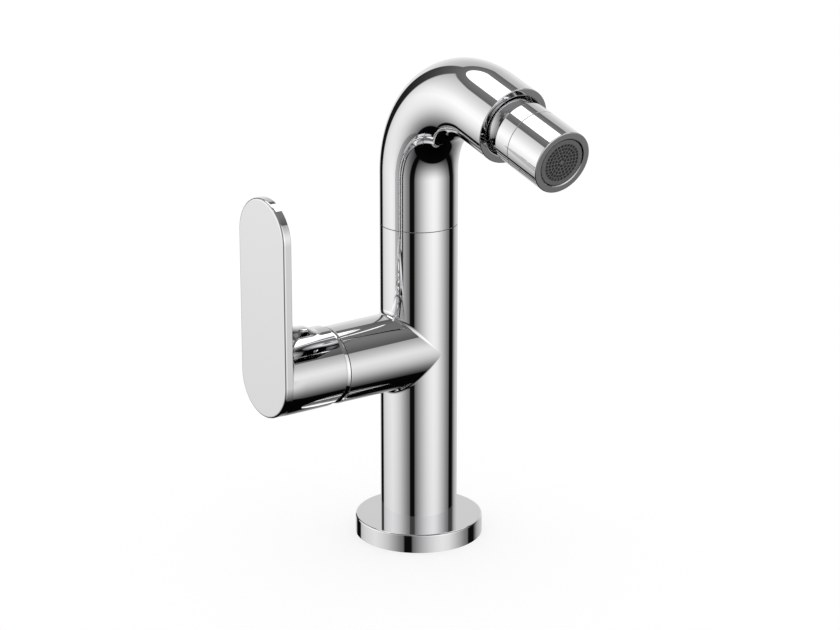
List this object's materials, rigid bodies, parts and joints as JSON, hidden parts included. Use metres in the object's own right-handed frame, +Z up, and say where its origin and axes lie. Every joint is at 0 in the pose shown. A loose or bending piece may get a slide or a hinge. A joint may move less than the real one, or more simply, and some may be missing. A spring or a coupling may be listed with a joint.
{
  "type": "bidet mixer",
  "caption": "Chrome single-lever bidet mixer: round column with a side arm and upright plate lever, swivelling arched spout and a ball-jointed aerator nozzle.",
  "frame": {"origin": "middle of the underside of the base, on the column's axis", "axes": "+Z up along the column, the spout reaches toward -Y, the side arm and lever toward -X"},
  "size_m": [0.1035, 0.1216, 0.2088],
  "materials": {
    "polished_chrome": "polished chrome plate on brass",
    "bare_brass": "as turned",
    "steel": "fine turned stainless steel",
    "black_rubber": "moulded, matt",
    "white_acetal": "moulded, satin",
    "grey_acetal": "moulded, satin",
    "alumina": "lapped ceramic"
  },
  "bodies": {
    "mixer_body": {"mixer_body": "polished_chrome", "base_flange": "polished_chrome", "deck_gasket": "black_rubber", "glide_ring": "white_acetal", "stop_screw": "steel", "cartridge_port_plate": "white_acetal", "port_seals": "black_rubber", "fixed_disc": "alumina", "cartridge_housing": "white_acetal", "cartridge_nut": "bare_brass", "cover_ring": "polished_chrome"},
    "turning_guide": {"stem_guide": "white_acetal", "pivot_pin": "steel"},
    "lever": {"lever": "polished_chrome", "lever_screw": "steel", "lever_plug": "polished_chrome", "control_stem": "steel"},
    "disc": {"moving_disc": "alumina", "disc_carrier": "white_acetal"},
    "spout": {"spout_tube": "polished_chrome", "spout_spigot": "bare_brass", "spigot_rings": "black_rubber", "end_collar": "polished_chrome", "ball_seat": "white_acetal", "ball_ring": "black_rubber"},
    "ball_liner": {"friction_liner": "white_acetal"},
    "nozzle": {"nozzle_ball": "polished_chrome", "rear_sleeve": "polished_chrome", "front_sleeve": "polished_chrome", "neck_seal": "black_rubber", "aerator_washer": "black_rubber", "aerator_insert": "grey_acetal", "jet_plate": "grey_acetal", "flow_screens": "steel"}
  },
  "joints": [
    {"name": "temperature_turn", "type": "hinge", "parent": "mixer_body", "child": "turning_guide", "pos_m": [-0.033, 0, 0.0822], "axis": [-1, 0, 0], "range_deg": [-50, 50]},
    {"name": "flow_tilt", "type": "hinge", "parent": "turning_guide", "child": "lever", "pos_m": [-0.033, 0, 0.0822], "axis": [0, -1, 0], "range_deg": [0, 25]},
    {"name": "disc_slide", "type": "slide", "parent": "turning_guide", "child": "disc", "axis": [0, 0, 1], "range_m": [0, 0.0039]},
    {"name": "spout_swivel", "type": "hinge", "parent": "mixer_body", "child": "spout", "pos_m": [0, 0, 0.135], "axis": [0, 0, 1], "range_deg": [-60, 60]},
    {"name": "nozzle_tilt", "type": "hinge", "parent": "spout", "child": "ball_liner", "pos_m": [0, -0.05725, 0.1883], "axis": [1, 0, 0], "range_deg": [-15, 15]},
    {"name": "nozzle_pan", "type": "hinge", "parent": "ball_liner", "child": "nozzle", "pos_m": [0, -0.05725, 0.1883], "axis": [0, -0.2723, 0.9622], "range_deg": [-15, 15]}
  ],
  "couplings": [
    {"joint": "disc_slide", "follows": "flow_tilt", "m_per_rad": 0.008911}
  ]
}
